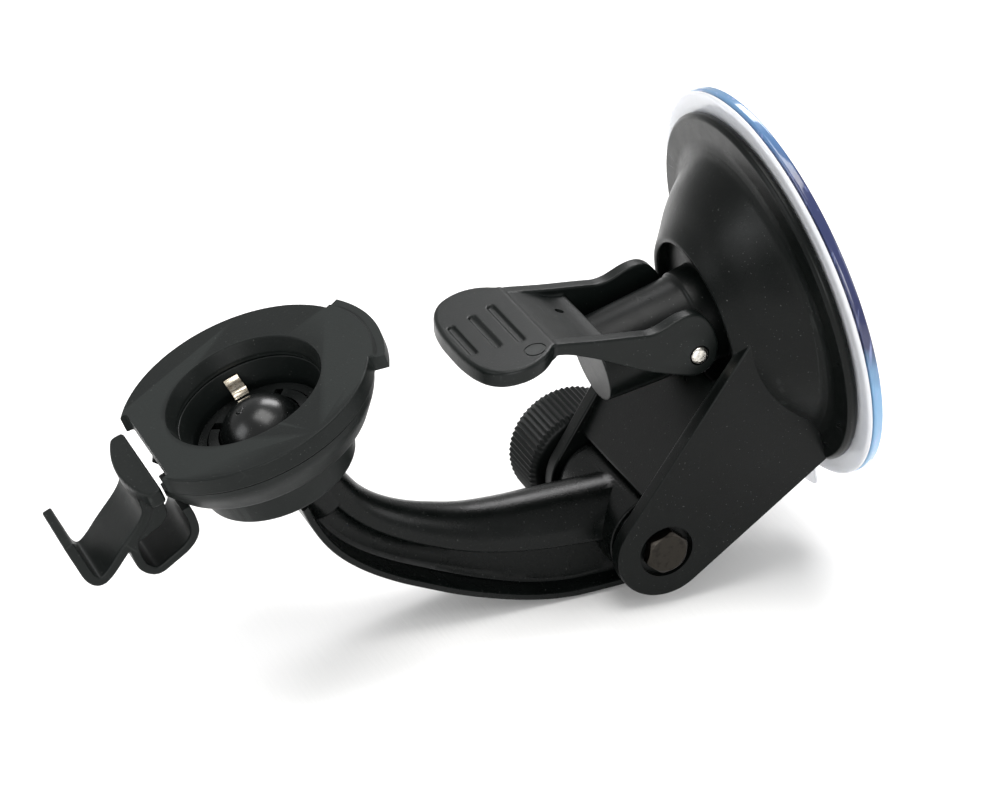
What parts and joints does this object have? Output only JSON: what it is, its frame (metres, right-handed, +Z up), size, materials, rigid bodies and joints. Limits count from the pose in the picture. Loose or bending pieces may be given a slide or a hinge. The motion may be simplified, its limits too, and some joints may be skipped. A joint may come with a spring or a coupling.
{
  "type": "windscreen navigator mount",
  "caption": "Windscreen suction mount for a portable navigator: lever-locked suction base, swing arm clamped by a knob, and a round cradle on a ball joint with a sprung latch.",
  "frame": {"origin": "centre of the underside of the whole mount as it lies on a table", "axes": "+X towards the suction pad, +Z up, +Y towards the clamp knob; the cradle is at -X"},
  "size_m": [0.1558, 0.08, 0.0952],
  "materials": {
    "housing_plastic": "fine moulded texture, soft sheen",
    "inner_plastic": "smooth, slightly glossy",
    "clear_pad": "clear, soft and glossy",
    "blue_seal": "translucent tacky gel, glossy",
    "steel": "bright",
    "black_zinc": "black plated, satin",
    "nickel": "bright plated",
    "brass": "turned"
  },
  "bodies": {
    "base": {"base_housing": "housing_plastic", "suction_pad": "clear_pad", "sealing_ring": "blue_seal", "release_spring": "steel", "pivot_bolt": "black_zinc", "washer_near": "inner_plastic", "washer_far": "inner_plastic"},
    "stem": {"pull_stem": "inner_plastic"},
    "lever": {"clamp_lever": "housing_plastic", "lever_pin": "steel"},
    "knob": {"clamp_knob": "housing_plastic", "knob_nut": "brass"},
    "arm": {"swing_arm": "housing_plastic", "ball_stud": "inner_plastic"},
    "ball_pitch": {"socket_liner": "inner_plastic"},
    "ball_roll": {"socket_retainer": "inner_plastic"},
    "cradle": {"cradle_housing": "housing_plastic", "cradle_plate": "housing_plastic", "contact_leaf": "nickel", "cradle_screw_1": "black_zinc", "cradle_screw_2": "black_zinc", "cradle_screw_3": "black_zinc", "cradle_screw_4": "black_zinc"},
    "latch": {"release_latch": "housing_plastic"}
  },
  "joints": [
    {"name": "stem_pull", "type": "slide", "parent": "base", "child": "stem", "axis": [-0.9728, 0, -0.2317], "range_m": [0, 0.004], "deforming": ["release_spring"]},
    {"name": "lever_lock", "type": "hinge", "parent": "stem", "child": "lever", "pos_m": [0.0457, 0, 0.05092], "axis": [0, 1, 0], "range_deg": [0, 70]},
    {"name": "knob_turn", "type": "hinge", "parent": "base", "child": "knob", "pos_m": [0.0375, 0, 0.01226], "axis": [0, 1, 0], "continuous": true},
    {"name": "arm_swing", "type": "hinge", "parent": "base", "child": "arm", "pos_m": [0.0375, 0, 0.01226], "axis": [0, 1, 0], "range_deg": [-75, 8]},
    {"name": "cradle_pitch", "type": "hinge", "parent": "arm", "child": "ball_pitch", "pos_m": [-0.0365, 0, 0.04496], "axis": [0, 1, 0], "range_deg": [-10, 10]},
    {"name": "cradle_roll", "type": "hinge", "parent": "ball_pitch", "child": "ball_roll", "pos_m": [-0.0365, 0, 0.04496], "axis": [0.9361, 0, 0.3518], "range_deg": [-10, 10]},
    {"name": "cradle_spin", "type": "hinge", "parent": "ball_roll", "child": "cradle", "pos_m": [-0.0365, 0, 0.04496], "axis": [-0.3518, 0, 0.9361], "range_deg": [-90, 90]},
    {"name": "latch_flex", "type": "hinge", "parent": "cradle", "child": "latch", "pos_m": [-0.0547, 0, 0.03823], "axis": [0, 1, 0], "range_deg": [-6, 0], "stiffness_Nm_per_rad": 0.6, "springref_deg": 2.86}
  ],
  "couplings": [
    {"joint": "stem_pull", "follows": "lever_lock", "m_per_rad": 0.003274}
  ]
}
